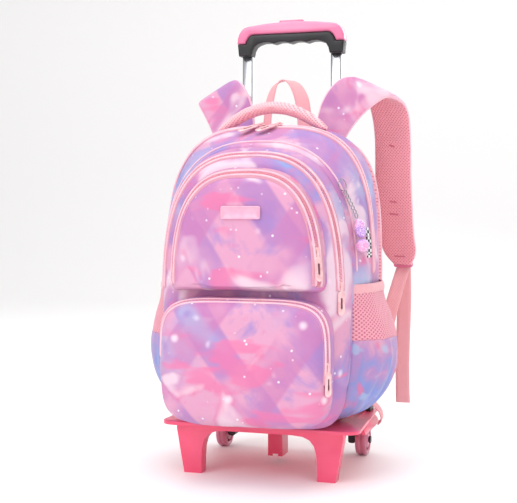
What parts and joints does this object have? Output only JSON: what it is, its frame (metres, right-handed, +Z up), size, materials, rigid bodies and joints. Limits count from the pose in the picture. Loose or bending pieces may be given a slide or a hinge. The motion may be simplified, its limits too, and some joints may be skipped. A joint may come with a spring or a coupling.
{
  "type": "wheeled backpack",
  "caption": "Child's school backpack with nested zipped compartments, mesh side pockets and padded straps, on a moulded tray with front legs, rear wheels and a telescopic handle.",
  "frame": {"origin": "middle of the whole thing's footprint, on the floor", "axes": "+Z up, -Y towards the front pockets, +X to the right seen from the front"},
  "size_m": [0.3966, 0.3814, 0.7218],
  "materials": {
    "print_cloth": "coated printed cloth, pastel watercolour clouds, semi-matt",
    "main_cloth": "coated printed cloth, pastel watercolour clouds, semi-matt",
    "pocket_cloth": "gathered printed cloth, blue to pink",
    "net": "open diamond net",
    "spacer_mesh": "deep pink spacer mesh over foam",
    "air_mesh": "pale pink air mesh over foam",
    "zip": "woven zip tape with moulded teeth and light piping",
    "pull": "pale pink lacquered zip pull",
    "plate": "bare soft plate with a raised border",
    "webbing": "salmon woven webbing",
    "tray": "moulded coral pink plastic",
    "black": "black moulded plastic",
    "grip_pink": "bubblegum pink moulded plastic",
    "tube": "bright drawn tube",
    "wheel": "translucent rosy urethane tyre",
    "charm_metal": "bright wire",
    "charm_ball": "plain glittered bead",
    "charm_check": "black and white checked strap"
  },
  "bodies": {
    "frame": {"axle_housing_left": "black", "axle_housing_right": "black", "back_pad_lower": "air_mesh", "back_pad_upper": "air_mesh", "back_panel": "air_mesh", "base_tray": "tray", "carry_handle": "air_mesh", "charm_ball": "charm_ball", "charm_bob": "charm_ball", "charm_chain": "charm_metal", "charm_strap": "charm_check", "front_piping": "zip", "handle_sleeve": "main_cloth", "hang_loop": "webbing", "lower_pocket": "print_cloth", "lower_pull": "pull", "lower_zip": "zip", "main_front": "main_cloth", "main_gusset": "main_cloth", "main_pull_left": "pull", "main_pull_right": "pull", "main_zip": "zip", "name_plate": "plate", "outer_tube_left": "tube", "outer_tube_right": "tube", "rear_bar": "black", "second_compartment": "print_cloth", "second_pull": "pull", "second_zip": "zip", "side_pocket_band_left": "webbing", "side_pocket_band_right": "webbing", "side_pocket_base_left": "pocket_cloth", "side_pocket_base_right": "pocket_cloth", "side_pocket_mesh_left": "net", "side_pocket_mesh_right": "net", "strap_buckle_left": "grip_pink", "strap_buckle_right": "grip_pink", "strap_left": "spacer_mesh", "strap_right": "spacer_mesh", "tray_tie_left": "webbing", "tray_tie_right": "webbing", "tube_collar": "black", "upper_pocket": "print_cloth", "upper_pull": "pull", "upper_zip": "zip", "webbing_anchor_left": "webbing", "webbing_anchor_right": "webbing", "webbing_tail_left": "webbing", "webbing_tail_right": "webbing"},
    "middle_tubes": {"middle_tube_left": "tube", "middle_tube_right": "tube"},
    "handle": {"inner_tube_left": "tube", "inner_tube_right": "tube", "grip_bar": "black", "grip_cover": "grip_pink"},
    "grip_button": {"grip_button": "grip_pink"},
    "wheel_left": {"wheel_left": "wheel", "hub_left": "grip_pink"},
    "wheel_right": {"wheel_right": "wheel", "hub_right": "grip_pink"}
  },
  "joints": [
    {"name": "middle_tubes_slide", "type": "slide", "parent": "frame", "child": "middle_tubes", "axis": [0, 0, 1], "range_m": [0, 0.16]},
    {"name": "handle_slide", "type": "slide", "parent": "middle_tubes", "child": "handle", "axis": [0, 0, 1], "range_m": [-0.138, 0.12]},
    {"name": "grip_button_press", "type": "slide", "parent": "handle", "child": "grip_button", "axis": [0, 0, -1], "range_m": [0, 0.0026], "stiffness_N_per_m": 900},
    {"name": "wheel_left_spin", "type": "hinge", "parent": "frame", "child": "wheel_left", "pos_m": [-0.121, 0.1082, 0.026], "axis": [1, 0, 0], "continuous": true},
    {"name": "wheel_right_spin", "type": "hinge", "parent": "frame", "child": "wheel_right", "pos_m": [0.121, 0.1082, 0.026], "axis": [1, 0, 0], "continuous": true}
  ]
}
